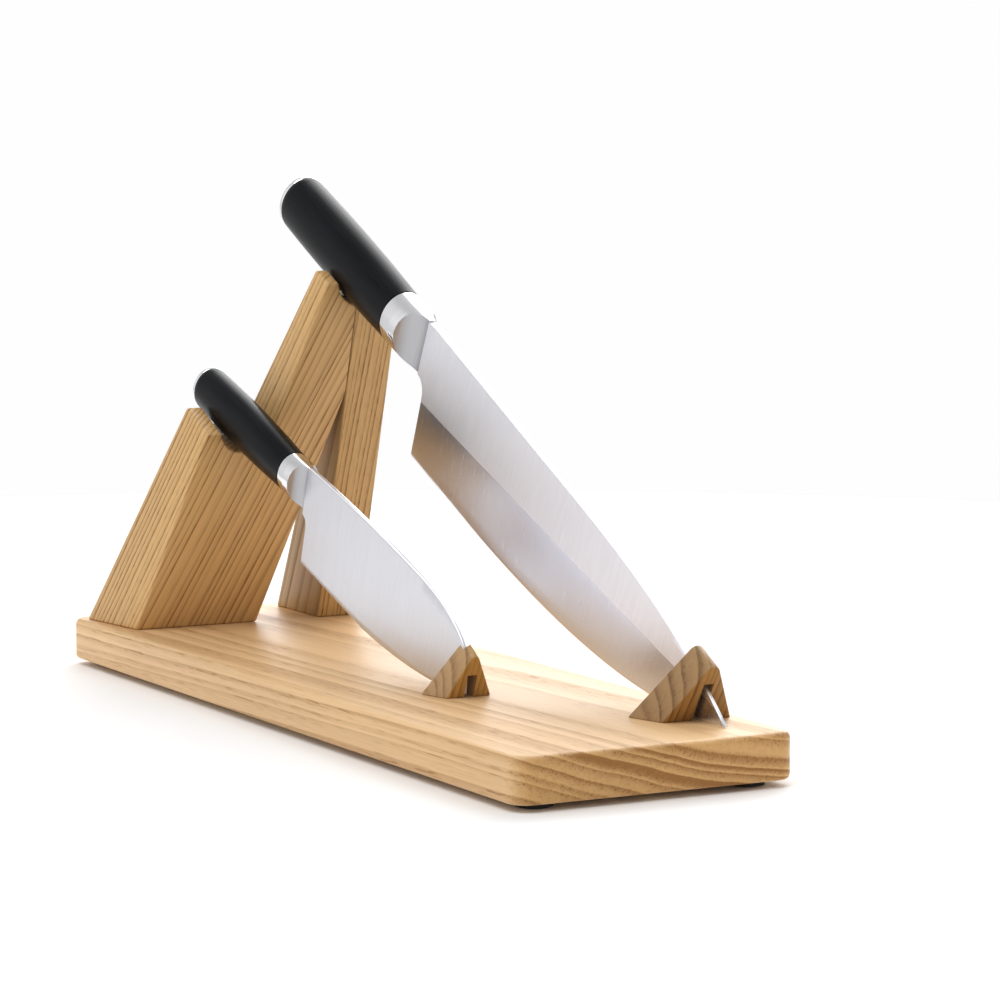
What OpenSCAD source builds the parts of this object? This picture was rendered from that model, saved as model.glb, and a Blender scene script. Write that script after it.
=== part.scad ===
// Open knife stand: a flat base board, a forked support that carries two handles,
// and two small slotted blocks that hold the blade tips.
// +X points towards the tips, +Y towards the large knife, +Z up; the feet stand on Z = 0.

/* [Base board] */
// Length of the base board
base_l = 344; // [330:1:360]
// Width of the base board
base_w = 98; // [96:1:110]
// Thickness of the base board
base_t = 15; // [13:0.5:18]
// Plan radius of the base board's corners
base_corner_r = 7; // [3:1:14]
// Diameter of a rubber foot
foot_d = 12; // [8:1:16]
// Height that a foot stands out below the board
foot_h = 2; // [1:0.5:4]

/* [Support] */
// Front edge of the support's footprint, behind the middle of the base
support_front_x = -127; // [-130:1:-120]
// Depth of the footprint, front to back
support_depth = 36; // [32:1:38]
// Forward lean of the front faces, in degrees
front_lean = 16; // [12:1:18]
// Forward lean of the back faces, in degrees
back_lean = 25.5; // [24:0.5:27]
// Sideways lean of the support board, in degrees
side_lean = 15; // [12:1:16]
// Left edge of the support board at its foot
board_left_y = -41.6; // [-43:0.2:-40]
// Width of the support board's foot
board_foot_w = 47.8; // [44:0.2:48]
// Height of the fork's point, measured up the back face
fork_point_w = 102.7; // [98:0.1:106]
// Joint plane between the support board and the strut
joint_y = 31.3; // [30:0.1:32]
// Width of the upright strut
strut_w = 16.7; // [14:0.1:17]

/* [Large knife] */
// Angle of the large knife below level, in degrees
large_angle = 25.5; // [25:0.5:26]
// Plane that the large knife stands in
large_y = 32.4; // [32:0.2:32.6]
// Blade length, heel to tip
large_blade_l = 217.3; // [216:0.1:218]
// Depth of the blade's edge below the handle's axis at the heel
large_heel_drop = 40.3; // [38:0.1:41]
// Thickness of the blade along its spine
large_blade_t = 2.4; // [2:0.1:2.8]
// Length of the bolster, from the handle joint to the heel
large_bolster_l = 27.4; // [26:0.1:29]
// Length of the grip with its end cap
large_grip_l = 91.5; // [88:0.5:96]

/* [Small knife] */
// Angle of the small knife below level, in degrees
small_angle = 19.5; // [19:0.5:20]
// Plane that the small knife stands in
small_y = -8.1; // [-8.8:0.1:-7.6]
// Blade length, heel to tip
small_blade_l = 124; // [123:0.5:125]
// Depth of the blade's edge below the handle's axis at the heel
small_heel_drop = 27.4; // [26:0.1:28]
// Thickness of the blade along its spine
small_blade_t = 2; // [1.6:0.1:2.4]
// Length of the bolster, from the handle joint to the heel
small_bolster_l = 17.2; // [16:0.1:18]
// Length of the grip with its end cap
small_grip_l = 76.5; // [74:0.5:80]

/* [Tip blocks] */
// Front edge of the large tip block
large_block_x = 139.6; // [138:0.2:141]
// Length of the large tip block's foot
large_block_l = 14.9; // [14:0.1:16]
// Half width of the large tip block's foot
large_block_half_w = 12.4; // [12:0.1:12.6]
// Front edge of the small tip block
small_block_x = 66; // [65.6:0.2:67]
// Length of the small tip block's foot
small_block_l = 12.4; // [12:0.1:13]
// Half width of the small tip block's foot
small_block_half_w = 8; // [7.6:0.2:8.6]
// Width of the slots that hold the blade tips
slot_w = 3.5; // [3.4:0.1:3.8]

/* [Hidden] */

$fn = 96;
ash = "tan";
pale_ash = "burlywood";
steel = "lightsteelblue";
black_wood = [0.12, 0.12, 0.13];
far = 400;                      // longer than anything that is cut
curve_steps = 14;               // straight pieces in each drawn curve

// Base board and feet
base_top = foot_h + base_t;
foot_recess = 1;
foot_inset_x = 11;
foot_inset_y = 12;

// Support: its pieces are prisms that run along the seats, square to the back faces
support_back_x = support_front_x - support_depth;
front_w = support_depth * sin(back_lean);          // height of the foot's front edge up the lean
board_right_y = board_left_y + board_foot_w;
step_y = -15.8;                                    // the shoulder's step, carried down to the foot
strut_right_y = joint_y + strut_w;

// Large knife, placed by its tip; the handle's axis is its X
large_tip_x = 156.8;
tip_rest = 0.4;                                    // air between a blade tip and the base board
large_tip_drop = 9.7;
large_x = large_tip_x - large_blade_l * cos(large_angle) + large_tip_drop * sin(large_angle);
large_z = base_top + tip_rest + large_blade_l * sin(large_angle) + large_tip_drop * cos(large_angle);
large_neck_u = -6.4;
large_spine_v = 9.9;

// Small knife
small_tip_x = 64;
small_tip_drop = 14.5;
small_x = small_tip_x - small_blade_l * cos(small_angle) + small_tip_drop * sin(small_angle);
small_z = base_top + tip_rest + small_blade_l * sin(small_angle) + small_tip_drop * cos(small_angle);
small_neck_u = -4;
small_spine_v = 7.8;

// Seats: half-round grooves that the handles lie in
tall_groove_r = 9.1;
tall_seat_sink = 3.7;
tall_groove_lift = 0.9;
tall_seat_w = (large_x - support_back_x) * sin(back_lean) + (large_z - base_top) * cos(back_lean)
              - tall_seat_sink;
low_groove_r = 8;
low_seat_w = 89;
low_groove_lift = 0.8;

// Dowels and screws
joint_dowel_d = 6;
joint_dowel_l = 20;
joint_dowel_q = 8;
joint_dowel_ws = [112, 125];
support_dowel_d = 8;
support_dowel_l = 24;
support_dowel_sink = 10;
support_dowels_at = [[-143, -34], [-143, 0], [-137, joint_y + strut_w / 2]];
screw_d = 4.5;
screw_l = 36;
screw_head_d = 9;
support_screws_at = [[-139, -24.5], [-139, -10.5], [-149.5, joint_y + strut_w / 2]];
large_tip_dowel_d = 4;
large_tip_dowel_up = 5.5;
large_tip_dowel_y = 6.2;
small_tip_dowel_d = 2.6;
small_tip_dowel_up = 4.5;
small_tip_dowel_y = 4;
tip_dowel_down = 9;

function edge_y(y0, w) = y0 + (w - front_w) * tan(side_lean);
function curve(a, b, c) =
    [for (i = [0:curve_steps]) let (t = i / curve_steps)
        (1 - t) * (1 - t) * a + 2 * t * (1 - t) * b + t * t * c];
function arc(centre, r, from, to) =
    [for (i = [0:curve_steps]) let (a = from + (to - from) * i / curve_steps)
        centre + r * [cos(a), sin(a)]];
// Where the ridge's round is centred, for sides that lean in by the given slope
function ridge_centre(half_w, slope, r) = (half_w - r * sqrt(1 + slope * slope)) / slope;

// A frame at (x, y, z) whose X leans down towards the tips by the given angle
module tilted(x, y, z, angle) {
    translate([x, y, z]) rotate([0, angle, 0]) children();
}

// A profile drawn in (Y, Z), pushed along X
module along_x(length) {
    rotate([90, 0, 90]) linear_extrude(length) children();
}

// A profile drawn in (X, Z), centred across Y
module across_y(width) {
    translate([0, width / 2, 0]) rotate([90, 0, 0]) linear_extrude(width) children();
}

module below_base_top() {
    translate([-far / 2, -far / 2, base_top - far]) cube([far, far, far]);
}

module in_front_of_support() {
    tilted(support_front_x, 0, base_top, front_lean) translate([0, -far / 2, -far / 2]) cube(far);
}

module seat_groove(y, w, r) {
    tilted(support_back_x, y, base_top, back_lean)
        translate([-5, 0, w]) rotate([0, 90, 0]) cylinder(r = r, h = 60);
}

module foot_solid(x, y) {
    translate([x, y, 0]) cylinder(d = foot_d, h = foot_h + foot_recess);
}

module foot_at(sx, sy) {
    foot_solid(sx * (base_l / 2 - foot_inset_x), sy * (base_w / 2 - foot_inset_y));
}

module all_feet() {
    for (sx = [-1, 1], sy = [-1, 1]) foot_at(sx, sy);
}

module joint_dowel_solids() {
    for (w = joint_dowel_ws)
        tilted(support_back_x, joint_y, base_top, back_lean)
            translate([joint_dowel_q, joint_dowel_l / 2, w])
                rotate([90, 0, 0]) cylinder(d = joint_dowel_d, h = joint_dowel_l);
}

module support_dowel_solids() {
    for (p = support_dowels_at)
        translate([p[0], p[1], base_top - support_dowel_sink])
            cylinder(d = support_dowel_d, h = support_dowel_l);
}

module screw_solid() {
    rotate_extrude() polygon([[0, 0], [screw_head_d / 2, 0], [screw_head_d / 2, 0.6],
        [screw_d / 2, 3], [screw_d / 2, screw_l - 5], [0.4, screw_l], [0, screw_l]]);
}

module support_screw_solids() {
    for (p = support_screws_at) translate([p[0], p[1], foot_h]) screw_solid();
}

module tip_dowel_pair(x, y, half_gap, d, up) {
    for (side = [-1, 1])
        translate([x, y + side * half_gap, base_top - tip_dowel_down])
            cylinder(d = d, h = tip_dowel_down + up);
}

module large_tip_dowel_solids() {
    tip_dowel_pair(large_block_x - large_block_l / 2 + 1.5, large_y, large_tip_dowel_y,
                   large_tip_dowel_d, large_tip_dowel_up);
}

module small_tip_dowel_solids() {
    tip_dowel_pair(small_block_x - small_block_l / 2 + 1, small_y, small_tip_dowel_y,
                   small_tip_dowel_d, small_tip_dowel_up);
}

// A wedge with a rounded ridge, leaning at both ends, with a slot for a blade tip
module tip_block(x, y, length, half_w, angle, front, back, slope, ridge_r, slot) {
    centre = ridge_centre(half_w, slope, ridge_r);
    side = atan(slope);
    profile = concat([[-half_w - 10 * slope, -10]], [[half_w + 10 * slope, -10]],
                     arc([0, centre], ridge_r, side, 180 - side));
    difference() {
        tilted(x, y, base_top, angle) translate([-50, 0, 0]) along_x(100) polygon(profile);
        below_base_top();
        tilted(x, y, base_top, front) translate([0, -50, -50]) cube(100);
        tilted(x - length, y, base_top, back) translate([-100, -50, -50]) cube(100);
        translate([0, y, base_top]) across_y(slot_w) polygon(slot);
    }
}

// An oval body through rings [u, half width, half height] along X
module oval_body(rings) {
    around = 48;
    last = len(rings) - 1;
    points = [for (ring = rings, i = [0:around - 1]) let (a = 360 * i / around)
        [ring[0], ring[1] * cos(a), ring[2] * sin(a)]];
    sides = [for (r = [0:last - 1], i = [0:around - 1]) let (j = (i + 1) % around)
        [r * around + i, (r + 1) * around + i, (r + 1) * around + j, r * around + j]];
    caps = [[for (i = [0:around - 1]) i], [for (i = [around - 1:-1:0]) last * around + i]];
    polyhedron(points, concat(sides, caps));
}

// A blade whose faces come together evenly from the spine to the edge
module blade(outline, thickness, edge_v, length, tang) {
    flat_v = -6;
    edge_half = 0.25;
    half = thickness / 2;
    intersection() {
        across_y(20) polygon(outline);
        translate([-20, 0, 0]) along_x(length + 40)
            polygon([[-half, 30], [-half, flat_v], [-edge_half, edge_v], [edge_half, edge_v],
                     [half, flat_v], [half, 30]]);
    }
    tang_solid(tang);
}

// An oval collar with a scoop ground into each side, down to the blade
module bolster(length, joint_b, joint_a, neck_u, neck_a, scoop_r, scoop_u, web, tang) {
    difference() {
        oval_body([[-length, joint_b, joint_a], [-length * 0.75, joint_b, joint_a],
                   [neck_u, joint_b * 0.9, neck_a]]);
        for (side = [-1, 1])
            translate([scoop_u, side * (scoop_r + web), -20]) cylinder(r = scoop_r, h = 40);
        tang_solid(tang);
    }
}

module tang_solid(tang) {
    translate([tang[0], -tang[2] / 2, -tang[3] / 2]) cube([tang[1], tang[2], tang[3]]);
}

// Rings from the end cap to the bolster; each size is [half width, half height]
function grip_rings(cap_u, joint_u, cap, full, joint) =
    [for (i = [0:curve_steps])
        let (t = i / curve_steps,
             s = t < 0.4 ? 1 - pow(1 - t / 0.4, 2) : 1 - pow((t - 0.4) / 0.6, 2),
             end = t < 0.4 ? cap : joint,
             size = end + (full - end) * s)
        [cap_u + (joint_u - cap_u) * t, size[0], size[1]]];

module grip(cap_u, joint_u, cap, full, joint, tang, spigot_d, spigot_l) {
    difference() {
        oval_body(grip_rings(cap_u, joint_u, cap, full, joint));
        tang_solid(tang);
        translate([cap_u - 1, 0, 0]) rotate([0, 90, 0]) cylinder(d = spigot_d, h = spigot_l + 1);
    }
}

// End cap: a slightly domed oval steel disc with a spigot in the grip
module end_cap(cap_u, thickness, cap, spigot_d, spigot_l) {
    oval_body([for (p = [[1, 0.34], [0.97, 0.54], [0.92, 0.73], [0.85, 0.86], [0.76, 0.94], [0.64, 0.98],
                         [0.48, 1], [0, 1]])
        [cap_u - p[0] * thickness, cap[0] * p[1], cap[1] * p[1]]]);
    translate([cap_u - 0.5, 0, 0]) rotate([0, 90, 0]) cylinder(d = spigot_d, h = spigot_l + 0.5);
}

// ---- Stand ----

module base_board() {
    inner_x = base_l / 2 - base_corner_r;
    inner_y = base_w / 2 - base_corner_r;
    color(pale_ash) difference() {
        translate([0, 0, foot_h]) linear_extrude(base_t)
            polygon(concat(arc([inner_x, inner_y], base_corner_r, 0, 90),
                           arc([-inner_x, inner_y], base_corner_r, 90, 180),
                           arc([-inner_x, -inner_y], base_corner_r, 180, 270),
                           arc([inner_x, -inner_y], base_corner_r, 270, 360)));
        all_feet();
        support_dowel_solids();
        support_screw_solids();
        large_tip_dowel_solids();
        small_tip_dowel_solids();
    }
}

module support_board() {
    fork_slope = (joint_y - board_right_y) / (fork_point_w - front_w);
    profile = [[edge_y(board_left_y, -20), -20], [board_right_y - fork_slope * (front_w + 20), -20],
               [joint_y, fork_point_w], [joint_y, tall_seat_w], [edge_y(step_y, tall_seat_w), tall_seat_w],
               [edge_y(step_y, low_seat_w), low_seat_w], [edge_y(board_left_y, low_seat_w), low_seat_w]];
    color(ash) difference() {
        tilted(support_back_x, 0, base_top, back_lean) along_x(60) polygon(profile);
        below_base_top();
        in_front_of_support();
        seat_groove(small_y, low_seat_w + low_groove_lift, low_groove_r);
        seat_groove(large_y, tall_seat_w + tall_groove_lift, tall_groove_r);
        joint_dowel_solids();
        support_dowel_solids();
        support_screw_solids();
    }
}

module support_strut() {
    color(ash) difference() {
        tilted(support_back_x, 0, base_top, back_lean) along_x(60)
            polygon([[joint_y, -20], [strut_right_y, -20], [strut_right_y, tall_seat_w], [joint_y, tall_seat_w]]);
        below_base_top();
        in_front_of_support();
        seat_groove(large_y, tall_seat_w + tall_groove_lift, tall_groove_r);
        joint_dowel_solids();
        support_dowel_solids();
        support_screw_solids();
    }
}

module large_tip_block() {
    color(ash) difference() {
        tip_block(large_block_x, large_y, large_block_l, large_block_half_w, 29, 31, 33, 0.52, 2.6,
                  [[100, -1], [160, -1], [160, 3.5], [145.5, 13.2], [136, 20.8], [100, 49.6]]);
        large_tip_dowel_solids();
    }
}

module small_tip_block() {
    color(ash) difference() {
        tip_block(small_block_x, small_y, small_block_l, small_block_half_w, 32, small_angle, 30, 0.48, 2,
                  [[40, -1], [80, -1], [80, 3], [68.6, 7.4], [66, 9.5], [66, 17.5], [60, 30], [40, 40]]);
        small_tip_dowel_solids();
    }
}

module joint_dowels() { color(pale_ash) joint_dowel_solids(); }
module support_dowels() { color(pale_ash) support_dowel_solids(); }
module large_tip_dowels() { color(pale_ash) large_tip_dowel_solids(); }
module small_tip_dowels() { color(pale_ash) small_tip_dowel_solids(); }

module support_screws() {
    color("silver") difference() {
        support_screw_solids();
        for (p = support_screws_at, turn = [0, 90])
            translate([p[0], p[1], foot_h]) rotate([0, 0, turn]) cube([4.4, 0.9, 3], center = true);
    }
}

module foot_back_left() { color("dimgray") foot_at(-1, -1); }
module foot_back_right() { color("dimgray") foot_at(-1, 1); }
module foot_front_left() { color("dimgray") foot_at(1, -1); }
module foot_front_right() { color("dimgray") foot_at(1, 1); }

// ---- Large knife ----
large_tang = [-70, 70 + large_neck_u, 3, 9];
large_joint_u = -large_bolster_l;
large_joint_b = 8.6;
large_joint_a = 10.3;
large_cap = [8.9, 10.9];
large_cap_u = large_joint_u - large_grip_l + 3;

module on_large_knife() {
    tilted(large_x, large_y, large_z, large_angle) children();
}

module large_blade() {
    fillet_r = -large_neck_u - 0.2;
    throat_v = -11;
    tip = [large_blade_l, -large_tip_drop];
    outline = concat([[large_neck_u, large_spine_v - 0.2], [0, large_spine_v]],
                     curve([110, 6.4], [180, 4], tip),
                     curve(tip, [162, -38.8], [50, -large_heel_drop + 0.2]),
                     [[0, -large_heel_drop]],
                     arc([large_neck_u, throat_v - fillet_r], fillet_r, 0, 90));
    color(steel) on_large_knife()
        blade(outline, large_blade_t, -large_heel_drop - 1, large_blade_l, large_tang);
}

module large_bolster() {
    color("silver") on_large_knife()
        bolster(large_bolster_l, large_joint_b, large_joint_a, large_neck_u, 10.4, 10.8, large_neck_u, 1.3,
                large_tang);
}

module large_grip() {
    color(black_wood) on_large_knife()
        grip(large_cap_u, large_joint_u, large_cap, [9.2, 11.4], [large_joint_b, large_joint_a],
             large_tang, 7, 8);
}

module large_end_cap() {
    color("silver") on_large_knife() end_cap(large_cap_u, 3, large_cap, 7, 8);
}

// ---- Small knife ----
small_tang = [-52, 52 + small_neck_u, 2.6, 7];
small_joint_u = -small_bolster_l;
small_joint_b = 6.2;
small_joint_a = 7.6;
small_cap = [6.7, 8.3];
small_cap_u = small_joint_u - small_grip_l + 2.5;

module on_small_knife() {
    tilted(small_x, small_y, small_z, small_angle) children();
}

module small_blade() {
    fillet_r = -small_neck_u;
    throat_v = -9.8;
    tip = [small_blade_l, -small_tip_drop];
    outline = concat([[small_neck_u, small_spine_v - 0.2]],
                     curve([0, small_spine_v], [48, 9.8], [86, 8.2]),
                     curve([86, 8.2], [118, 5.6], [121.5, -4]),
                     curve(tip, [92, -25.5], [50, -small_heel_drop - 0.4]),
                     [[0, -small_heel_drop]],
                     arc([small_neck_u, throat_v - fillet_r], fillet_r, 0, 90));
    color(steel) on_small_knife()
        blade(outline, small_blade_t, -small_heel_drop - 1.6, small_blade_l, small_tang);
}

module small_bolster() {
    color("silver") on_small_knife()
        bolster(small_bolster_l, small_joint_b, small_joint_a, small_neck_u, 7.7, 5.2, small_neck_u, 1.1,
                small_tang);
}

module small_grip() {
    color(black_wood) on_small_knife()
        grip(small_cap_u, small_joint_u, small_cap, [7, 8.9], [small_joint_b, small_joint_a],
             small_tang, 5, 6);
}

module small_end_cap() {
    color("silver") on_small_knife() end_cap(small_cap_u, 2.5, small_cap, 5, 6);
}

base_board();
support_board();
support_strut();
large_tip_block();
small_tip_block();
joint_dowels();
support_dowels();
support_screws();
large_tip_dowels();
small_tip_dowels();
foot_back_left();
foot_back_right();
foot_front_left();
foot_front_right();
large_blade();
large_bolster();
large_grip();
large_end_cap();
small_blade();
small_bolster();
small_grip();
small_end_cap();
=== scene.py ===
"""Looks for the open knife stand: an ash stand with two knives, in a soft white studio."""

import math

import bmesh
import bpy
from mathutils import Matrix, Vector


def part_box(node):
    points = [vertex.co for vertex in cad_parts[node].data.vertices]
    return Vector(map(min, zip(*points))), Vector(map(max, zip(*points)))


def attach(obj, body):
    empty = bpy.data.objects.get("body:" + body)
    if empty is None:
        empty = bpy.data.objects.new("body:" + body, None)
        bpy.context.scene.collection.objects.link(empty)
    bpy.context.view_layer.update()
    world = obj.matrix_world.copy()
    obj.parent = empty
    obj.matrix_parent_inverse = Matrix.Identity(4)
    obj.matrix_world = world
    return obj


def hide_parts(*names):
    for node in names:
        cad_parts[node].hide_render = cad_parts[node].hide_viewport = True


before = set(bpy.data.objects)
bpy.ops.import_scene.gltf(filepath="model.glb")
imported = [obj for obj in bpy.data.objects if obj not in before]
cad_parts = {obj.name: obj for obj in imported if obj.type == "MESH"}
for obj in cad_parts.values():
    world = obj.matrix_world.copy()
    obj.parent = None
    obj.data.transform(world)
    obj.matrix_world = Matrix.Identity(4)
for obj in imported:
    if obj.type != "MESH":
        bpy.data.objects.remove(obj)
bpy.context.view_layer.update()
MM = 0.001


# ---------------------------------------------------------------- dimensions, as in the CAD, in mm
BASE_L, BASE_W, BASE_T, BASE_R = 344, 98, 15, 7
FOOT_H, FOOT_D = 2, 12
BASE_TOP = FOOT_H + BASE_T

SUPPORT_FRONT_X, SUPPORT_DEPTH = -127, 36
SUPPORT_BACK_X = SUPPORT_FRONT_X - SUPPORT_DEPTH
FRONT_LEAN, BACK_LEAN, SIDE_LEAN = 16, 25.5, 15     # degrees from upright
BOARD_LEFT_Y, BOARD_RIGHT_Y = -41.6, 6.2
FORK_W, JOINT_Y, STRUT_W, STEP_Y = 102.7, 31.3, 16.7, -15.8
TALL_GROOVE_R, TALL_SINK, TALL_LIFT = 9.1, 3.7, 0.9
LOW_GROOVE_R, LOW_SEAT_W, LOW_LIFT = 8, 89, 0.8
SLOT_W = 3.5
TIP_GAP = 0.4                                       # from the base board up to a blade's tip


def tilt(x, y, z, degrees):
    """A frame at (x, y, z) mm whose X leans down towards the tips."""
    return Matrix.Translation((x, y, z)) @ Matrix.Rotation(math.radians(degrees), 4, "Y")


def knife_frame(knife):
    """The frame of a knife that stands on its tip; X is the handle's axis."""
    length, low = knife["tip"]
    a = math.radians(knife["fall"])
    x = knife["tip_x"] - length * math.cos(a) - low * math.sin(a)
    z = BASE_TOP + TIP_GAP + length * math.sin(a) - low * math.cos(a)
    return tilt(x, knife["y"], z, knife["fall"])


def straight(p, r):
    """A straight stretch, written as a quadratic curve."""
    return (p, ((p[0] + r[0]) / 2, (p[1] + r[1]) / 2), r)


# A knife is drawn in its own frame: u runs along the handle's axis towards the tip, from the heel of the
# blade, and v runs up towards the spine. The axis falls towards the tip by `fall` degrees. The sections
# full, cap and joint are (half thickness, half height); neck is (u, half height), scoop (radius, u, half of
# the steel left), bevel (v at u = 0, slope along u), and grind the slope of the ground face. The spine and
# the edge are chains of quadratic curves.
LARGE_TIP, SMALL_TIP = (217.3, -9.7), (124, -14.5)
LARGE = {
    "body": "large_knife", "tip_x": 156.8, "y": 32.4, "fall": 25.5, "tip": LARGE_TIP,
    "grip_l": 91.5, "full": (9.2, 11.4), "cap": (8.9, 10.9), "cap_t": 3,
    "bolster_l": 27.4, "joint": (8.6, 10.3), "neck": (-6.4, 10.4), "scoop": (10.8, -6.4, 1.2),
    "thickness": 2.4, "throat_v": -11, "bevel": (-18.5, 0.0515), "grind": 0.033,
    "spine": [straight((-6.4, 9.7), (0, 9.9)), straight((0, 9.9), (110, 6.4)),
              ((110, 6.4), (180, 4), LARGE_TIP)],
    "edge": [straight((0, -40.3), (50, -40.1)), ((50, -40.1), (162, -38.8), LARGE_TIP)],
}
SMALL = {
    "body": "small_knife", "tip_x": 64, "y": -8.1, "fall": 19.5, "tip": SMALL_TIP,
    "grip_l": 76.5, "full": (7, 8.9), "cap": (6.7, 8.3), "cap_t": 2.5,
    "bolster_l": 17.2, "joint": (6.2, 7.6), "neck": (-4, 7.7), "scoop": (5.2, -4, 1),
    "thickness": 2, "throat_v": -9.8, "bevel": (-20.5, 0.065), "grind": 0.014,
    "spine": [straight((-4, 7.6), (0, 7.8)), ((0, 7.8), (48, 9.8), (86, 8.2)),
              ((86, 8.2), (118, 5.6), (121.5, -4)), straight((121.5, -4), SMALL_TIP)],
    "edge": [straight((0, -27.4), (50, -27.8)), ((50, -27.8), (92, -25.5), SMALL_TIP)],
}
for knife in (LARGE, SMALL):
    knife["frame"] = knife_frame(knife)

# A wedge's front meets the base board at x. Its ridge falls towards the front by `fall` degrees, and its
# front and back lean by theirs from upright. side_slope is the run per rise of its sides, seen along the
# ridge, and slot is the (x, height) outline that is cut out of it.
LARGE_WEDGE = {
    "node": "large_tip_block", "x": 139.6, "y": LARGE["y"], "length": 14.9, "half_w": 12.4,
    "fall": 29, "front": 31, "back": 33, "side_slope": 0.52, "ridge_r": 2.6,
    "slot": [(100, -1), (160, -1), (160, 3.5), (145.5, 13.2), (136, 20.8), (100, 49.6)],
}
SMALL_WEDGE = {
    "node": "small_tip_block", "x": 66, "y": SMALL["y"], "length": 12.4, "half_w": 8,
    "fall": 32, "front": 19.5, "back": 30, "side_slope": 0.48, "ridge_r": 2,
    "slot": [(40, -1), (80, -1), (80, 3), (68.6, 7.4), (66, 9.5), (66, 17.5), (60, 30), (40, 40)],
}

# ---------------------------------------------------------------- sizes of the looks alone, in mm
SUPPORT_EASE, WEDGE_EASE = 0.8, 0.5                 # rounding of the wooden edges
BASE_TOP_ROUND, BASE_LOW_ROUND = 2.2, 1.5
BASE_UNDER = FOOT_H + 0.15                          # a hair above the CAD's underside
PUSH = 60                                           # length of a profile before it is cut to its part
FULL_AT = 0.4                                       # where the grip is fullest, as a share from the cap
GRIP_EASE, BOLSTER_EASE, EASE_L = 0.25, 0.2, 0.3    # the seams of the grip and the bolster
EDGE_T = 0.06                                       # half the thickness of the keen edge
KEEN_H, CROWN_H = 0.9, 0.35                         # heights of the sharpened strip and the spine's rounding
TIP_TAPER = 0.58                                    # share of the thickness that is gone at the tip

# ---------------------------------------------------------------- the camera and the room, in metres
CAMERA_AT, CAMERA_TO, CAMERA_LENS = (1.1120, -0.5655, 0.2057), (0.0098, 0.0339, 0.0733), 134.4

# Even light, with lobes of (axis, cosine where one starts, cosine where it is full, strength added).
ROOM_LIGHT, LEAST_LIGHT = 0.95, 0.02
ROOM_LOBES = [
    ((0.75, -0.65, 0.0), 0.1, 0.85, -0.52),         # dim towards the front and left
    ((-0.7, 0.7, 0.15), 0.72, 0.97, 2.9),           # bright backdrop, low behind
    ((-0.5, 0.5, 0.7), 0.9, 0.99, 3.4),             # soft highlight along the handles
    ((-0.47, -0.475, 0.745), 0.75, 0.98, -0.2),     # dimmer patch that the handles mirror
    ((-0.1, -0.95, 0.3), 0.6, 0.95, 0.45),          # window light on the near long side
    ((0.2, 0.98, -0.05), 0.55, 0.95, -0.4),         # dim towards the far long side
]
SEEN_WHITE = (0.99, 0.99, 0.99)                     # what the camera sees of the room
FLOOR_R = 0.75


# ---------------------------------------------------------------- node graphs
class Graph:
    """The node tree of a material or a world, written as nested calls."""

    def __init__(self, owner):
        owner.use_nodes = True
        self.owner = owner
        self.tree = owner.node_tree
        self.tree.nodes.clear()

    def node(self, kind, inputs=None, **settings):
        made = self.tree.nodes.new(kind)
        for key, value in settings.items():
            setattr(made, key, value)
        for key, value in (inputs or {}).items():
            self.feed(made.inputs[key], value)
        return made

    def feed(self, socket, value):
        if isinstance(value, bpy.types.NodeSocket):
            self.tree.links.new(value, socket)
        elif socket.type == "RGBA":
            socket.default_value = (*value, 1)
        else:
            socket.default_value = value

    def math(self, operation, a, b=0.0, c=0.0, clamp=False):
        made = self.node("ShaderNodeMath", {0: a, 1: b, 2: c}, operation=operation, use_clamp=clamp)
        return made.outputs[0]

    def dot(self, vector, axis):
        made = self.node("ShaderNodeVectorMath", {0: vector, 1: axis}, operation="DOT_PRODUCT")
        return made.outputs["Value"]

    def join(self, x, y, z):
        return self.node("ShaderNodeCombineXYZ", {0: x, 1: y, 2: z}).outputs[0]

    def noise(self, vector, scale, detail=2.0, roughness=0.5):
        inputs = {"Vector": vector, "Scale": scale, "Detail": detail, "Roughness": roughness}
        return self.node("ShaderNodeTexNoise", inputs).outputs["Fac"]

    def ramp(self, factor, stops):
        """A colour ramp whose stops are (place, grey) or (place, colour)."""
        made = self.node("ShaderNodeValToRGB", {0: factor})
        elements = made.color_ramp.elements
        while len(elements) < len(stops):
            elements.new(0.5)
        for element, (place, value) in zip(elements, stops):
            element.position = place
            element.color = (value, value, value, 1) if isinstance(value, (int, float)) else (*value, 1)
        return made.outputs[0]

    def mix(self, factor, a, b, blend="MIX"):
        made = self.node("ShaderNodeMix", {0: factor, 6: a, 7: b}, data_type="RGBA", blend_type=blend)
        return made.outputs[2]

    def here(self):
        """The surface point, in metres."""
        return self.node("ShaderNodeTexCoord").outputs["Object"]

    def place(self, origin, axes):
        """The surface point measured from origin along three axes, in metres."""
        moved = self.node("ShaderNodeVectorMath", {0: self.here(), 1: origin}, operation="SUBTRACT")
        return [self.dot(moved.outputs[0], axis) for axis in axes]

    def place_on(self, knife):
        """The surface point in a knife's own frame, in metres."""
        rotation = knife["frame"].to_3x3()
        axes = [rotation @ Vector(axis) for axis in ((1, 0, 0), (0, 1, 0), (0, 0, 1))]
        return self.place(knife["frame"].translation * MM, axes)

    def bump(self, height, distance, strength):
        inputs = {"Height": height, "Distance": distance, "Strength": strength}
        return self.node("ShaderNodeBump", inputs).outputs[0]

    def finish(self, **inputs):
        shader = self.node("ShaderNodeBsdfPrincipled", {k.replace("_", " "): v for k, v in inputs.items()})
        out = self.node("ShaderNodeOutputMaterial")
        self.tree.links.new(shader.outputs[0], out.inputs[0])
        return self.owner


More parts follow.
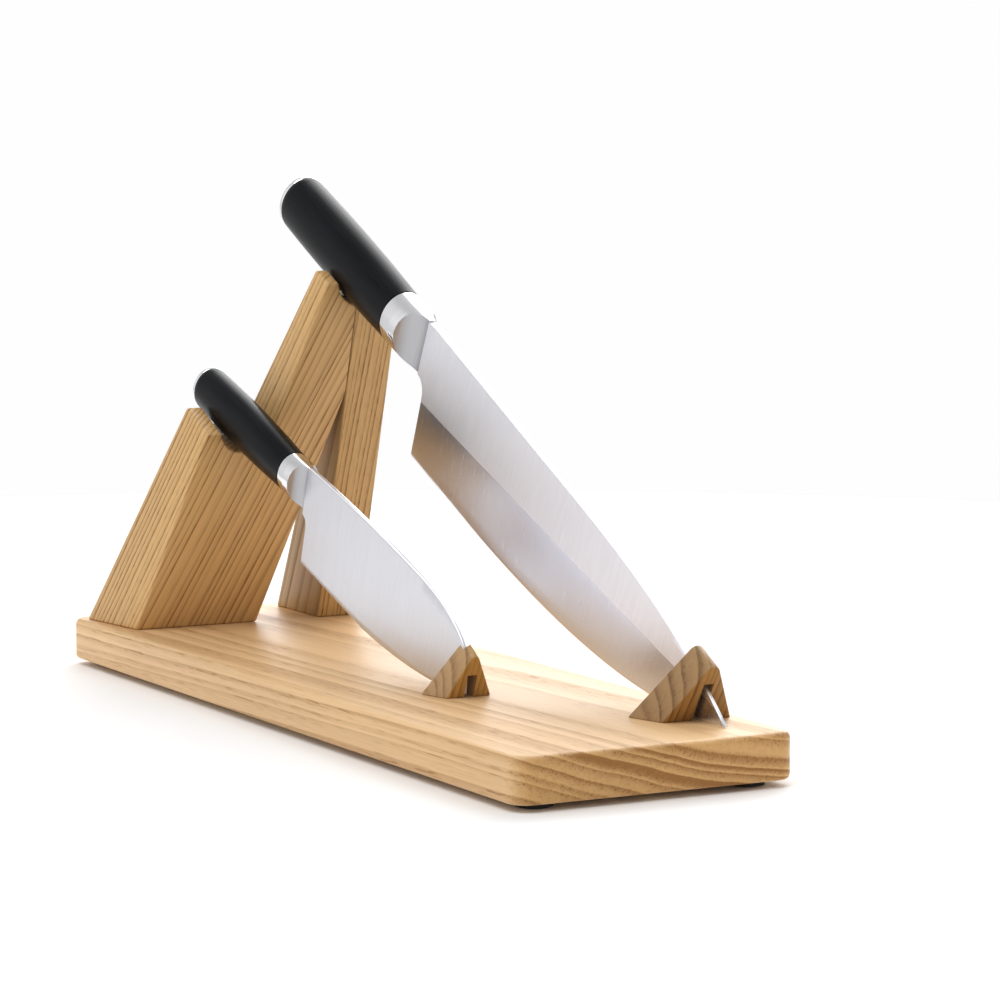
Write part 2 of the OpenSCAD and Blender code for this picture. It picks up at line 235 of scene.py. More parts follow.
# ---------------------------------------------------------------- camera, floor and light
def add_camera(place, target, lens):
    data = bpy.data.cameras.new("camera")
    data.lens = lens
    data.sensor_width = 36
    data.clip_start = 0.05
    data.clip_end = 50
    camera = bpy.data.objects.new("camera", data)
    bpy.context.scene.collection.objects.link(camera)
    camera.location = place
    camera.rotation_mode = "QUATERNION"
    camera.rotation_quaternion = (Vector(target) - Vector(place)).to_track_quat("-Z", "Y")
    bpy.context.scene.camera = camera


def add_sun(name, place, strength, spread):
    data = bpy.data.lights.new(name, "SUN")
    data.energy = strength
    data.angle = math.radians(spread)
    light = bpy.data.objects.new(name, data)
    bpy.context.scene.collection.objects.link(light)
    light.rotation_mode = "QUATERNION"
    light.rotation_quaternion = (-Vector(place)).to_track_quat("-Z", "Y")


def add_room():
    """A white room that is brighter behind the stand and darker in front of it."""
    scene = bpy.context.scene
    scene.view_settings.view_transform = "Standard"
    scene.world = bpy.data.worlds.new("studio")
    g = Graph(scene.world)
    direction = g.node("ShaderNodeTexCoord").outputs["Generated"]
    total = ROOM_LIGHT
    for axis, start, full, strength in ROOM_LOBES:
        cosine = g.dot(direction, Vector(axis).normalized())
        limits = {"Value": cosine, "From Min": start, "From Max": full, "To Max": strength}
        lobe = g.node("ShaderNodeMapRange", limits, interpolation_type="SMOOTHSTEP").outputs[0]
        total = g.math("ADD", total, lobe)
    lit = g.node("ShaderNodeBackground", {"Strength": g.math("MAXIMUM", total, LEAST_LIGHT)})
    seen = g.node("ShaderNodeBackground", {"Strength": 1.0, "Color": SEEN_WHITE})
    eye = g.node("ShaderNodeLightPath").outputs["Is Camera Ray"]
    both = g.node("ShaderNodeMixShader", {0: eye, 1: lit.outputs[0], 2: seen.outputs[0]})
    g.node("ShaderNodeOutputWorld", {"Surface": both.outputs[0]})


def add_floor(material):
    """A round floor, pale enough to melt into the room."""
    mesh = bpy.data.meshes.new("floor")
    bm = bmesh.new()
    bmesh.ops.create_circle(bm, cap_ends=True, radius=FLOOR_R, segments=96)
    bm.to_mesh(mesh)
    bm.free()
    mesh.materials.append(material)
    floor = bpy.data.objects.new("floor", mesh)
    bpy.context.scene.collection.objects.link(floor)


# ---------------------------------------------------------------- materials
def year_rings(g, fibres, place, ring, slant, wander, band):
    """How early in its year the wood at a place is: 1 is porous early wood, 0 dense late wood."""
    a, b, c = place
    ripple = 1.6
    slow = g.math("SUBTRACT", fibres(0.16, scale=16), 0.5)
    fine = g.math("SUBTRACT", fibres(0.08, scale=70), 0.5)
    warp = g.math("MULTIPLY_ADD", slow, 2 * wander * MM, g.math("MULTIPLY", fine, ripple * MM))
    radius = g.math("SQRT", g.math("ADD", g.math("MULTIPLY", a, a), g.math("MULTIPLY", b, b)))
    radius = g.math("ADD", g.math("MULTIPLY_ADD", c, slant, radius), warp)
    # Years are of uneven width and uneven strength.
    uneven = g.noise(g.join(radius, 0.0, 0.0), scale=150, detail=1)
    phase = g.math("MULTIPLY_ADD", uneven, 2.4, g.math("DIVIDE", radius, ring * MM))
    year = g.node("ShaderNodeTexWhiteNoise", {"W": g.math("FLOOR", phase)}, noise_dimensions="1D")
    strength = g.math("MULTIPLY_ADD", year.outputs["Value"], 0.8, 0.5)
    onset = 0.07
    early = g.ramp(g.math("FRACT", phase), [(0.0, 0.5), (onset, 1.0), (onset + 0.3 * band, 0.75),
                                            (onset + band, 0.25), (1 - onset, 0.0), (1.0, 0.5)])
    return g.math("MULTIPLY", early, strength, clamp=True)


def wood(name, grain, across, pith, light, dark, ring, slant=0.0, wander=7, contrast=1.0, band=0.45,
         pores=0.5, tint_axis=(1, 0, 0), end_grain_and_painted_light_tint=(1, 1, 1), calm=0.0, top_calm=0.0):
    """Oiled ring-porous wood, with lengths in mm.

    Years are rings round a pith line that runs along the grain. A ring is `ring` wide on average, coned by
    `slant` and wandering by up to `wander`, and `band` of it is early wood. Faces across `tint_axis` take
    `end_grain_and_painted_light_tint`. On the base that tint is end grain's own darker tone, deepened by
    painted shade; on the strut's sides it is painted shade, and on the wedges' fronts and backs painted
    light.
    The rings are fainter by `calm` on all other faces, and by `top_calm` again on the top.
    """
    g = Graph(bpy.data.materials.new(name))
    grain = Vector(grain).normalized()
    across = (Vector(across) - Vector(across).dot(grain) * grain).normalized()
    a, b, c = g.place(Vector(pith) * MM, (across, grain.cross(across), grain))

    def fibres(stretch, **noise):
        """Noise drawn out along the grain."""
        return g.noise(g.join(a, b, g.math("MULTIPLY", c, stretch)), **noise)

    normal = g.node("ShaderNodeNewGeometry").outputs["Normal"]
    # Faces across the tint axis, which take end grain's tone and painted light and shade.
    tinted_faces = g.ramp(g.math("ABSOLUTE", g.dot(normal, tint_axis)), [(0.35, 0.0), (0.95, 1.0)])
    upper = g.ramp(g.dot(normal, (0, 0, 1)), [(0.6, 0.0), (1.0, 1.0)])
    early = year_rings(g, fibres, (a, b, c), ring, slant, wander, band)
    early = g.math("MULTIPLY", early, g.math("MULTIPLY_ADD", tinted_faces, calm, 1 - calm))
    early = g.math("MULTIPLY", early, g.math("MULTIPLY_ADD", upper, -top_calm, 1.0))
    # Pores gather in the early wood, and strands and streaks break up both its tone and the late wood's.
    vessels = g.ramp(fibres(0.06, scale=1500, detail=1), [(0.57, 0.0), (0.66, 1.0)])
    pore = g.math("MULTIPLY", vessels, g.math("MULTIPLY_ADD", early, 0.9, 0.1))
    depth = g.math("MULTIPLY_ADD", early, contrast, g.math("MULTIPLY", pore, pores), clamp=True)
    strands = fibres(0.02, scale=2400, roughness=0.6)
    streaks = fibres(0.015, scale=700, roughness=0.6)
    tone = g.math("MULTIPLY_ADD", g.math("SUBTRACT", strands, 0.5), 0.35, depth)
    tone = g.math("MULTIPLY_ADD", g.math("SUBTRACT", streaks, 0.5), 0.5, tone, clamp=True)
    cloud = g.ramp(fibres(0.3, scale=22, detail=3), [(0.3, 0.88), (0.7, 1.0)])
    colour = g.mix(1.0, g.mix(tone, light, dark), cloud, "MULTIPLY")
    # The tint is laid on here: end grain's own tone on the base, deepened by painted shade; painted shade on
    # the strut's sides; painted light on the wedges' fronts and backs.
    colour = g.mix(tinted_faces, colour, g.mix(1.0, colour, end_grain_and_painted_light_tint, "MULTIPLY"))
    hollow = g.math("MULTIPLY_ADD", pore, 0.9, g.math("MULTIPLY", early, 0.35))
    height = g.math("SUBTRACT", g.math("MULTIPLY", strands, 0.35), hollow)
    return g.finish(Base_Color=colour, Roughness=g.math("MULTIPLY_ADD", depth, 0.16, 0.4),
                    Specular_IOR_Level=0.3, Normal=g.bump(height, 0.1 * MM, 0.7))


def black_wood(name, knife):
    """Dark laminated wood with faint layers along the handle."""
    g = Graph(bpy.data.materials.new(name))
    u, y, v = g.place_on(knife)
    strands = g.noise(g.join(g.math("MULTIPLY", u, 0.03), y, v), scale=1500, detail=3, roughness=0.6)
    layers = g.noise(g.join(g.math("MULTIPLY", u, 0.12), y, v), scale=160)
    tone = g.math("MULTIPLY_ADD", layers, 0.5, g.math("MULTIPLY", strands, 0.5))
    colour = g.ramp(tone, [(0.38, (0.0008, 0.0011, 0.0018)), (0.62, (0.005, 0.006, 0.0085))])
    return g.finish(Base_Color=colour, Roughness=g.math("MULTIPLY_ADD", strands, 0.2, 0.23),
                    Specular_IOR_Level=0.09, Normal=g.bump(strands, 0.04 * MM, 0.6))


def satin_steel(name, knife, flat, ground):
    """Blade steel with fine scratches from spine to edge.

    `flat` and `ground` are the colour and roughness above and below the bevel line.
    """
    g = Graph(bpy.data.materials.new(name))
    u, y, v = g.place_on(knife)
    lines = g.noise(g.join(u, y, g.math("MULTIPLY", v, 0.025)), scale=2600, detail=3, roughness=0.65)
    smudge = g.noise(g.join(u, y, v), scale=26, detail=3)
    start, slope = knife["bevel"]
    below = g.math("SUBTRACT", g.math("MULTIPLY_ADD", u, slope, start * MM), v)
    blend = 0.25                            # width of the step from one finish to the other
    part = g.math("MULTIPLY_ADD", below, 1 / (blend * MM), 0.5, clamp=True)
    colour = g.mix(part, flat[0], ground[0])
    colour = g.mix(1.0, colour, g.ramp(lines, [(0.25, 0.9), (0.7, 1.0)]), "MULTIPLY")
    finish = g.math("MULTIPLY_ADD", part, ground[1] - flat[1], flat[1])
    rough = g.math("ADD", g.math("MULTIPLY_ADD", lines, 0.05, finish), g.math("MULTIPLY", smudge, 0.02))
    return g.finish(Base_Color=colour, Metallic=1.0, Roughness=rough, Normal=g.bump(lines, 0.002 * MM, 0.2))


def polished_steel(name):
    g = Graph(bpy.data.materials.new(name))
    smudge = g.noise(g.here(), scale=120, detail=3)
    lines = g.noise(g.here(), scale=3000)
    return g.finish(Base_Color=g.mix(smudge, (0.78, 0.78, 0.8), (0.86, 0.86, 0.88)), Metallic=1.0,
                    Roughness=g.math("MULTIPLY_ADD", smudge, 0.08, 0.09),
                    Normal=g.bump(lines, 0.004 * MM, 0.4))


def grained(name, scale, dark, light, rough, metallic, depth, strength):
    """A plain material with fine grains `depth` mm high, such as rubber or zinc."""
    g = Graph(bpy.data.materials.new(name))
    grains = g.noise(g.here(), scale=scale, detail=3)
    return g.finish(Base_Color=g.mix(grains, dark, light), Metallic=metallic,
                    Roughness=g.math("MULTIPLY_ADD", grains, 0.2, rough),
                    Normal=g.bump(grains, depth * MM, strength))


def floor_white(name):
    g = Graph(bpy.data.materials.new(name))
    colour = g.mix(g.noise(g.here(), scale=3, detail=1), (0.93, 0.93, 0.93), (0.95, 0.95, 0.95))
    return g.finish(Base_Color=colour, Roughness=0.9, Specular_IOR_Level=0.1)


# ---------------------------------------------------------------- mesh helpers
TO_METRES = Matrix.Scale(MM, 4)
DOWN = (0, 0, -1)


def add_piece(name, bm, place, body, nodes, material, sharp=35):
    """Links a mesh drawn in mm in the frame `place`, rides it and dresses it.

    Edges where faces meet at more than `sharp` degrees stay sharp.
    """
    bmesh.ops.recalc_face_normals(bm, faces=bm.faces)
    bm.transform(TO_METRES @ place)
    mesh = bpy.data.meshes.new(name)
    bm.to_mesh(mesh)
    bm.free()
    for face in mesh.polygons:
        face.use_smooth = True
    mesh.set_sharp_from_angle(angle=math.radians(sharp))
    mesh.materials.append(material)
    piece = bpy.data.objects.new(name, mesh)
    bpy.context.scene.collection.objects.link(piece)
    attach(piece, body)
    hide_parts(*nodes)
    return piece


def loft(rings):
    """A closed skin through rings of equal length."""
    bm = bmesh.new()
    rows = [[bm.verts.new(point) for point in ring] for ring in rings]
    count = len(rows[0])
    for low, high in zip(rows, rows[1:]):
        for i in range(count):
            j = (i + 1) % count
            bm.faces.new((low[i], high[i], high[j], low[j]))
    bm.faces.new(rows[0])
    bm.faces.new(list(reversed(rows[-1])))
    return bm


def prism(profile, place, start, end):
    """A (y, z) profile pushed along X of `place`."""
    return loft([[place @ Vector((x, y, z)) for y, z in profile] for x in (start, end)])


def leaning(degrees, facing):
    """The normal of a plane that leans by degrees, facing the front (1) or the back (-1)."""
    return Matrix.Rotation(math.radians(degrees), 3, "Y") @ Vector((facing, 0, 0))


def cut(bm, point, normal):
    """Cuts away what is on the normal's side of a plane and closes the cut."""
    geometry = bm.verts[:] + bm.edges[:] + bm.faces[:]
    found = bmesh.ops.bisect_plane(bm, geom=geometry, plane_co=point, plane_no=normal, clear_outer=True)
    edges = [e for e in found["geom_cut"] if isinstance(e, bmesh.types.BMEdge)]
    bmesh.ops.contextual_create(bm, geom=edges)


def cut_out(piece, bm, sharp=35):
    """Takes a shape drawn in mm out of a finished piece."""
    bmesh.ops.recalc_face_normals(bm, faces=bm.faces)
    bm.transform(TO_METRES)
    mesh = bpy.data.meshes.new(piece.name + "_slot")
    bm.to_mesh(mesh)
    bm.free()
    tool = bpy.data.objects.new(piece.name + "_slot", mesh)
    bpy.context.scene.collection.objects.link(tool)
    boolean = piece.modifiers.new("slot", "BOOLEAN")
    boolean.operation = "DIFFERENCE"
    boolean.solver = "EXACT"
    boolean.object = tool
    evaluated = piece.evaluated_get(bpy.context.evaluated_depsgraph_get())
    result = bpy.data.meshes.new_from_object(evaluated)
    piece.modifiers.clear()
    piece.data = result
    result.set_sharp_from_angle(angle=math.radians(sharp))
    bpy.data.objects.remove(tool)


def ease(bm, width, least=25):
    """Rounds the edges where faces meet at more than `least` degrees."""
    bm.normal_update()
    edges = [e for e in bm.edges if len(e.link_faces) == 2 and e.calc_face_angle(0) > math.radians(least)]
    bmesh.ops.bevel(bm, geom=edges, offset=width, segments=3, profile=0.5, affect="EDGES",
                    clamp_overlap=True)


def arc(cy, cz, r, start, end, steps=16):
    """Points on a circle round (cy, cz), from one angle in degrees to another."""
    angles = [math.radians(start + (end - start) * i / steps) for i in range(steps + 1)]
    return [(cy + r * math.cos(a), cz + r * math.sin(a)) for a in angles]


def oval(u, b, a, count=72):
    """A ring at u, with half thickness b and half height a."""
    turns = [2 * math.pi * i / count for i in range(count)]
    return [Vector((u, b * math.cos(t), a * math.sin(t))) for t in turns]


def bezier(t, p, q, r):
    return [(1 - t) ** 2 * a + 2 * t * (1 - t) * b + t * t * c for a, b, c in zip(p, q, r)]


def height_on(curves, u):
    """Height at u on a chain of quadratic curves whose u grows."""
    p, q, r = next((c for c in curves if u <= c[2][0]), curves[-1])
    low, high = 0.0, 1.0
    for _ in range(40):
        t = (low + high) / 2
        low, high = (t, high) if bezier(t, p, q, r)[0] < u else (low, t)
    return bezier(t, p, q, r)[1]


# ---------------------------------------------------------------- stand
# The supports' profiles lie in the seat's frame: X runs down the seat, and w is the height square to it.
SEAT = tilt(SUPPORT_BACK_X, 0, BASE_TOP, BACK_LEAN)
FRONT_W = SUPPORT_DEPTH * math.sin(math.radians(BACK_LEAN))
LARGE_AT = LARGE["frame"].translation
TALL_SEAT_W = ((LARGE_AT.x - SUPPORT_BACK_X) * math.sin(math.radians(BACK_LEAN))
               + (LARGE_AT.z - BASE_TOP) * math.cos(math.radians(BACK_LEAN)) - TALL_SINK)
UNDER_W = -20                               # well below the base board's top, where supports are cut off


def lean_edge(y0, w):
    """Where the board's leaning left side is at the height w; at the foot of its front it is at y0."""
    return y0 + (w - FRONT_W) * math.tan(math.radians(SIDE_LEAN))


def dip(y, w, r, lift, low_y=None, high_y=None):
    """A groove's arc from its +Y side down and up to its -Y side, or only from high_y or to low_y."""
    level = math.degrees(math.asin(lift / r))

    def angle(side):
        return -math.degrees(math.acos((side - y) / r))

    start = -level if high_y is None else angle(high_y)
    end = -180 + level if low_y is None else angle(low_y)
    return arc(y, w + lift, r, start, end)


def make_support(node, profile, material):
    bm = prism(profile, SEAT, 0, PUSH)
    cut(bm, (0, 0, BASE_TOP), DOWN)
    cut(bm, (SUPPORT_FRONT_X, 0, BASE_TOP), leaning(FRONT_LEAN, 1))
    ease(bm, SUPPORT_EASE)
    add_piece(node + "_wood", bm, Matrix(), "stand", [node], material)


def make_support_board(material):
    """The leaning board, with the low seat and its half of the tall one."""
    slope = (JOINT_Y - BOARD_RIGHT_Y) / (FORK_W - FRONT_W)
    profile = [(lean_edge(BOARD_LEFT_Y, UNDER_W), UNDER_W),
               (BOARD_RIGHT_Y - slope * (FRONT_W - UNDER_W), UNDER_W), (JOINT_Y, FORK_W)]
    profile += dip(LARGE["y"], TALL_SEAT_W, TALL_GROOVE_R, TALL_LIFT, high_y=JOINT_Y)
    profile += [(lean_edge(STEP_Y, TALL_SEAT_W), TALL_SEAT_W), (lean_edge(STEP_Y, LOW_SEAT_W), LOW_SEAT_W)]
    profile += dip(SMALL["y"], LOW_SEAT_W, LOW_GROOVE_R, LOW_LIFT)
    profile += [(lean_edge(BOARD_LEFT_Y, LOW_SEAT_W), LOW_SEAT_W)]
    make_support("support_board", profile, material)


def make_support_strut(material):
    """The upright strut, with the other half of the tall seat."""
    right = JOINT_Y + STRUT_W
    profile = [(JOINT_Y, UNDER_W), (right, UNDER_W), (right, TALL_SEAT_W)]
    profile += dip(LARGE["y"], TALL_SEAT_W, TALL_GROOVE_R, TALL_LIFT, low_y=JOINT_Y)
    make_support("support_strut", profile, material)


def make_base(material):
    """A board with round corners and rounded edges, lofted through level outlines."""
    levels = [(BASE_UNDER + BASE_LOW_ROUND * (1 - math.cos(a)), BASE_LOW_ROUND * (1 - math.sin(a)))
              for a in (0, 0.4, 0.8, 1.2, math.pi / 2)]
    levels += [(BASE_TOP - BASE_TOP_ROUND * (1 - math.sin(a)), BASE_TOP_ROUND * (1 - math.cos(a)))
               for a in [math.pi / 2 * i / 6 for i in range(7)]]
    x, y = BASE_L / 2 - BASE_R, BASE_W / 2 - BASE_R
    corners = ((x, y, 0), (-x, y, 90), (-x, -y, 180), (x, -y, 270))
    rings = [[Vector((px, py, z)) for cx, cy, a in corners
              for px, py in arc(cx, cy, BASE_R - inset, a, a + 90, 14)] for z, inset in levels]
    add_piece("base_board_wood", loft(rings), Matrix(), "stand", ["base_board"], material, 50)


def make_foot(node, material):
    """A rubber foot with a round hollow in its sole; its top is let into the base board."""
    low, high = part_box(node)
    centre = (low + high) / 2 / MM
    r = FOOT_D / 2
    hollow_r, hollow_h, let_in, count = 1.6, 0.5, 1, 40
    profile = [(hollow_r, hollow_h), (hollow_r + 0.6, 0.0), (r - 1, 0.0), (r - 0.3, 0.25), (r, 0.9),
               (r, FOOT_H + let_in)]
    turns = [2 * math.pi * i / count for i in range(count)]
    rings = [[Vector((centre.x + pr * math.cos(t), centre.y + pr * math.sin(t), z)) for t in turns]
             for pr, z in profile]
    add_piece(node + "_rubber", loft(rings), Matrix(), "stand", [node], material)


def make_wedge(wedge, material):
    """A leaning wedge with a rounded ridge and a slot for the blade's tip."""
    x, y, half_w, slope, ridge_r = [wedge[key] for key in ("x", "y", "half_w", "side_slope", "ridge_r")]
    under = 10                              # how far the sides run on below the base board's top
    side = math.degrees(math.atan(slope))
    ridge_z = (half_w - ridge_r * math.sqrt(1 + slope * slope)) / slope
    profile = [(-half_w - under * slope, -under), (half_w + under * slope, -under)]
    profile += arc(0, ridge_z, ridge_r, side, 180 - side, 12)
    bm = prism(profile, tilt(x, y, BASE_TOP, wedge["fall"]), -PUSH, PUSH)
    cut(bm, (0, 0, BASE_TOP), DOWN)
    cut(bm, (x, y, BASE_TOP), leaning(wedge["front"], 1))
    cut(bm, (x - wedge["length"], y, BASE_TOP), leaning(wedge["back"], -1))
    ease(bm, WEDGE_EASE)
    name = wedge["node"] + "_wood"
    piece = add_piece(name, bm, Matrix(), "stand", [wedge["node"]], material)
    sides = (y - SLOT_W / 2, y + SLOT_W / 2)
    cut_out(piece, loft([[Vector((px, py, BASE_TOP + pz)) for px, pz in wedge["slot"]] for py in sides]))


# ---------------------------------------------------------------- knives
def add_knife_part(knife, part, stuff, rings, material, sharp):
    """Lofts a part in the knife's own frame; it replaces the CAD node of the same knife and part."""
    node = knife["body"].replace("knife", part)
    bm = loft(rings)
    return add_piece(node + "_" + stuff, bm, knife["frame"], knife["body"], [node], material, sharp)


def make_grip(knife, material):
    """A swelling oval grip with slightly eased ends."""
    joint_u = -knife["bolster_l"]
    cap_u = joint_u - knife["grip_l"] + knife["cap_t"]
    steps = 48
    rings = []
    for i in range(steps + 1):
        t = i / steps
        end, off = knife["cap"], 1 - t / FULL_AT
        if t >= FULL_AT:
            end, off = knife["joint"], (t - FULL_AT) / (1 - FULL_AT)
        b, a = [e + (f - e) * (1 - off ** 2) for e, f in zip(end, knife["full"])]
        inset = GRIP_EASE if i in (0, steps) else 0
        rings.append(oval(cap_u + (joint_u - cap_u) * t, b - inset, a - inset))
        if i == 0:
            rings.append(oval(cap_u + EASE_L, b, a))
        if i == steps - 1:
            rings.append(oval(joint_u - EASE_L, b, a))
    add_knife_part(knife, "grip", "wood", rings, material, 40)


def make_cap(knife, material):
    """A thin domed cap; its profile is (share of the thickness, how far the rim is drawn in)."""
    cap_u = -knife["bolster_l"] - knife["grip_l"] + knife["cap_t"]
    b, a = knife["cap"]
    profile = [(0.0, 0.12), (0.12, 0.0), (0.42, 0.0), (0.55, 0.1), (0.68, 0.35), (0.78, 0.8), (0.86, 1.5),
               (0.93, 2.8), (0.97, 4.4), (1.0, 6.2)]
    rings = [oval(cap_u - share * knife["cap_t"], b - inset, a - inset * a / b) for share, inset in profile]
    add_knife_part(knife, "end_cap", "steel", rings, material, 50)


def make_bolster(knife, material, scoop_material):
    """A collar whose sides are scooped down to the blade."""
    length = knife["bolster_l"]
    neck_u, neck_a = knife["neck"]
    joint_b, joint_a = knife["joint"]
    scoop_r, scoop_u, web = knife["scoop"]
    taper_u = -0.75 * length                # from here on the collar narrows
    flat, turn, steps = 16, 26, 64          # points down a side, points over an edge, rings
    rings = []
    scooped = []
    for k in range(steps + 1):
        u = -length + (neck_u + length) * k / steps
        f = max(0.0, (u - taper_u) / (neck_u - taper_u))
        b, a = joint_b * (1 - 0.1 * f), joint_a + (neck_a - joint_a) * f
        if k == 0:
            b, a = b - BOLSTER_EASE, a - BOLSTER_EASE
        reach = scoop_r ** 2 - (u - scoop_u) ** 2
        half = scoop_r + web - math.sqrt(reach) if reach > 0 else math.inf
        scooped.append(half < 0.999 * b)
        limit = math.acos(min(half / b, 0.9995))
        y, top = min(half, b * math.cos(limit)), a * math.sin(limit)
        ring = []
        for side in (1, -1):
            ring += [Vector((u, side * y, side * (-top + 2 * top * i / flat))) for i in range(flat)]
            ring += [Vector((u, side * b * math.cos(t), side * a * math.sin(t)))
                     for t in [limit + (math.pi - 2 * limit) * i / turn for i in range(turn)]]
        rings.append(ring)
    piece = add_knife_part(knife, "bolster", "steel", rings, material, 28)
    # The scoops take the darkened steel, a painted reflection.
    piece.data.materials.append(scoop_material)
    for k in range(steps):
        for i in range(2 * (flat + turn)):
            if scooped[k + 1] and i % (flat + turn) < flat:
                piece.data.polygons[k * 2 * (flat + turn) + i].material_index = 1


def blade_stations(knife):
    """(u, top, bottom) along a blade: a fillet down from the neck, then the outline's points."""
    spine, edge = knife["spine"], knife["edge"]
    neck_u, tip_u = knife["neck"][0], knife["tip"][0]
    fillet_r = -neck_u - 0.2                # ends just short of the heel
    turns, steps, apart = 12, 26, 0.02      # along the fillet, along each curve, and the least distance
    stations = []
    for a in [math.pi / 2 * i / turns for i in range(turns + 1)]:
        u = neck_u + fillet_r * math.sin(a)
        stations.append((u, height_on(spine, u), knife["throat_v"] - fillet_r * (1 - math.cos(a))))
    marks = {0.0}
    for curve in spine[1:] + edge:
        marks |= {round(bezier(i / steps, *curve)[0], 2) for i in range(steps + 1)}
    marks = sorted(min(u, tip_u - 0.03) for u in marks)
    marks = [u for i, u in enumerate(marks) if i == 0 or u - marks[i - 1] > apart]
    return stations + [(u, height_on(spine, u), height_on(edge, u)) for u in marks]


def bevel_at(knife, u):
    """Height of the line below which the blade is ground; near a long blade's tip it bends up."""
    start, slope = knife["bevel"]
    bend_u, rise = 160, 0.0012
    return start + slope * u + rise * max(0, u - bend_u) ** 2


def blade_ring(knife, u, top, bottom):
    """A blade's section: rounded spine, flat down to the bevel line, ground face and keen edge."""
    low = bottom if u >= 0 else height_on(knife["edge"], 0)
    least_flat, least_ground, least_t, narrow = 0.8, 1.6, 0.2, 8
    t = knife["thickness"] / 2 * (1 - TIP_TAPER * (max(0, u) / knife["tip"][0]) ** 2.5)
    line = min(top - least_flat, max(low + least_ground, bevel_at(knife, max(u, 0))))
    foot_t = max(least_t, t - (line - low - KEEN_H) * knife["grind"])
    span = top - low
    crown = top - min(CROWN_H, span / 8)
    if span < narrow:
        line = low + max(line - low, span * 0.3)
    keen = low + min(KEEN_H, (line - low) / 3)
    steps, apart = 5, 0.1                   # points down each face, and from its last to the next face
    side = [(t * 0.5, top), (t * 0.85, top - (top - crown) * 0.3), (t, crown)]
    side += [(t, crown + (line + apart - crown) * k / steps) for k in range(1, steps + 1)]
    side += [(t + (foot_t - t) * k / steps, line + (keen + apart - line) * k / steps)
             for k in range(steps + 1)]
    side += [(foot_t + (EDGE_T - foot_t) * f, keen + (low - keen) * f) for f in (0.1, 0.5, 1)]
    side = [(y, max(v, bottom)) for y, v in side]
    return [Vector((u, y, v)) for y, v in side] + [Vector((u, -y, v)) for y, v in reversed(side)]


def make_blade(knife, material):
    rings = [blade_ring(knife, *station) for station in blade_stations(knife)]
    add_knife_part(knife, "blade", "steel", rings, material, 25)


# ---------------------------------------------------------------- assembly
add_camera(CAMERA_AT, CAMERA_TO, CAMERA_LENS)
add_room()
add_sun("overhead", (0.12, -0.35, 0.93), strength=0.95, spread=40)
add_floor(floor_white("floor_white"))

SEAT_UP = (math.sin(math.radians(BACK_LEAN)), 0, math.cos(math.radians(BACK_LEAN)))
BOARD_GRAIN = (0.2868, 0.48, 1)             # up the board, leaning to the front and to the strut
HONEY, BROWN = (0.75, 0.463, 0.19), (0.30, 0.145, 0.042)
PALE, TAN = (0.83, 0.55, 0.285), (0.42, 0.21, 0.07)
WEDGE_FIGURE = {"ring": 2.2, "wander": 2, "contrast": 0.85, "band": 0.35}

# The base's ends take a darker tint: end grain's own tone, deepened as painted shade.
base_wood = wood("oiled_ash_base", (1, 0.01, 0), (0, 1, 0), (0, 97, 391), PALE, TAN, ring=3.4, slant=0.01,
                 wander=3, contrast=1.1, band=0.6, pores=0.9, end_grain_and_painted_light_tint=(0.83, 0.73, 0.54), calm=0.32,
                 top_calm=0.35)
board_wood = wood("oiled_ash_board", BOARD_GRAIN, (1, 0, 0), (-45, 80, 17), HONEY, BROWN, ring=2, slant=-0.02,
                  wander=4, contrast=0.85, band=0.28)
# The strut's side faces, across Y, take a darker and cooler tint: painted shade for the shade inside the
# fork.
strut_wood = wood("oiled_ash_strut", SEAT_UP, (1, 0, 0), (-100, 150, 17), HONEY, BROWN, ring=2.1, wander=1.5,
                  contrast=0.8, band=0.3, tint_axis=(0, 1, 0), end_grain_and_painted_light_tint=(0.66, 0.76, 0.92))
# The wedges' ash is darker than the board's: partly darker wood, partly painted shade on their sides. Their
# tint brightens and yellows their fronts and backs as painted light.
large_wedge_wood = wood("oiled_ash_large_block", (0.45, 0.1, 0.9), (0, 1, 0), (120, -40, 17),
                        (0.385, 0.237, 0.108), (0.18, 0.095, 0.035), end_grain_and_painted_light_tint=(1.12, 0.98, 0.6),
                        **WEDGE_FIGURE)
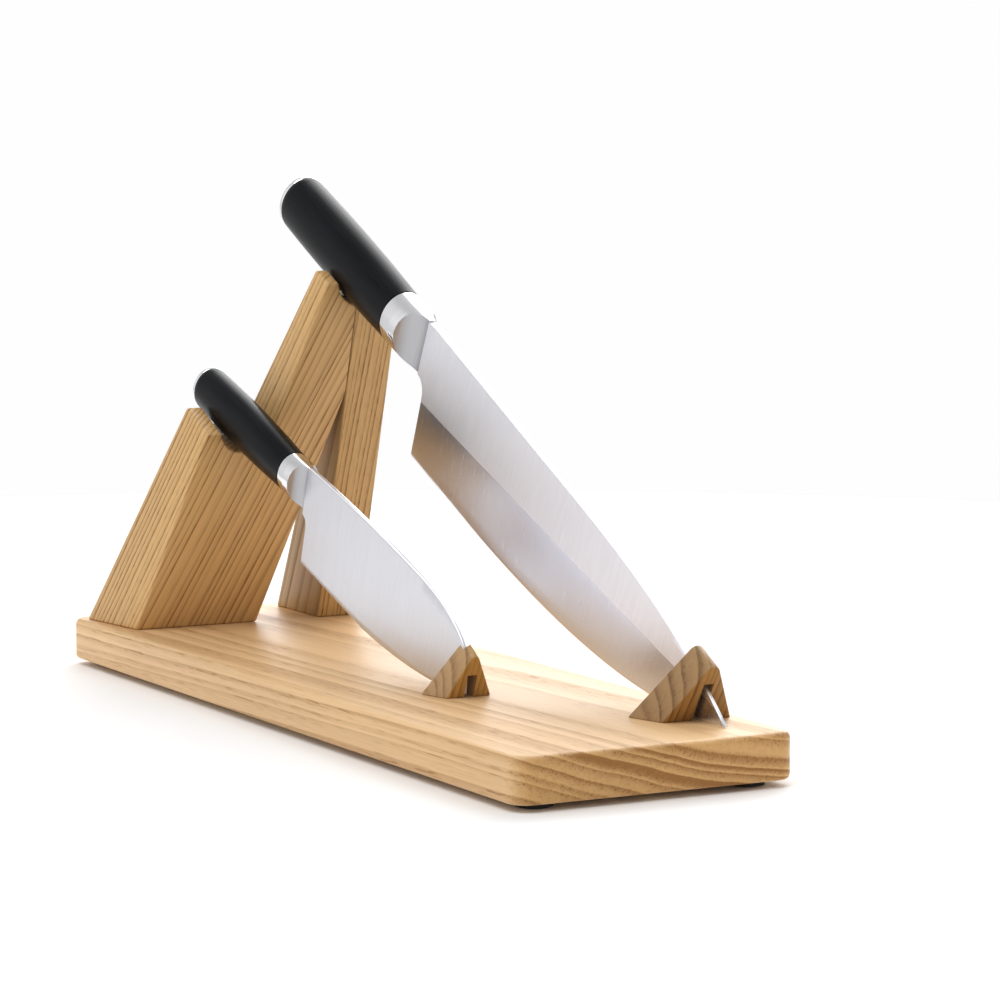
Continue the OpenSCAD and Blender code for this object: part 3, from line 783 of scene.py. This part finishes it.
# The same painted shade and painted light as on the large wedge.
small_wedge_wood = wood("oiled_ash_small_block", (0.4, 0.1, 0.9), (0, 1, 0), (50, -90, 17),
                        (0.5, 0.32, 0.16), (0.27, 0.15, 0.06), end_grain_and_painted_light_tint=(1.12, 0.98, 0.55), **WEDGE_FIGURE)
dowel_wood = wood("beech_dowels", (0, 0, 1), (1, 0, 0), (0, 400, 0), (0.72, 0.5, 0.3), (0.6, 0.38, 0.2),
                  ring=2)

make_base(base_wood)
make_support_board(board_wood)
make_support_strut(strut_wood)
make_wedge(LARGE_WEDGE, large_wedge_wood)
make_wedge(SMALL_WEDGE, small_wedge_wood)
foot_rubber = grained("foot_rubber", 1800, (0.016, 0.016, 0.017), (0.034, 0.034, 0.035), rough=0.65,
                      metallic=0.0, depth=0.1, strength=0.5)
for corner in ("back_left", "back_right", "front_left", "front_right"):
    make_foot("foot_" + corner, foot_rubber)

bright_steel = polished_steel("polished_steel")
large_steel = satin_steel("large_satin_steel", LARGE,
                          flat=((0.92, 0.925, 0.975), 0.36), ground=((0.79, 0.83, 0.93), 0.23))
small_steel = satin_steel("small_satin_steel", SMALL,
                          flat=((0.72, 0.725, 0.765), 0.3), ground=((0.73, 0.735, 0.78), 0.3))
SCOOP_PAINTED_SHADE = ((0.47, 0.47, 0.49), 0.32)          # one finish, above and below the bevel line; darker than the blade's steel, a painted reflection of the darker floor the scoops mirror
for knife, blade_steel in ((LARGE, large_steel), (SMALL, small_steel)):
    make_grip(knife, black_wood(knife["body"] + "_black_wood", knife))
    make_cap(knife, bright_steel)
    make_bolster(knife, bright_steel, satin_steel(knife["body"] + "_scoop_steel", knife, SCOOP_PAINTED_SHADE, SCOOP_PAINTED_SHADE))
    make_blade(knife, blade_steel)

screw_zinc = grained("screw_zinc", 900, (0.5, 0.5, 0.48), (0.66, 0.66, 0.66), rough=0.28, metallic=1.0,
                     depth=0.02, strength=0.4)
for node, material in (("joint_dowels", dowel_wood), ("support_dowels", dowel_wood),
                       ("large_tip_dowels", dowel_wood), ("small_tip_dowels", dowel_wood),
                       ("support_screws", screw_zinc)):
    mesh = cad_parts[node].data
    mesh.materials.clear()
    mesh.materials.append(material)
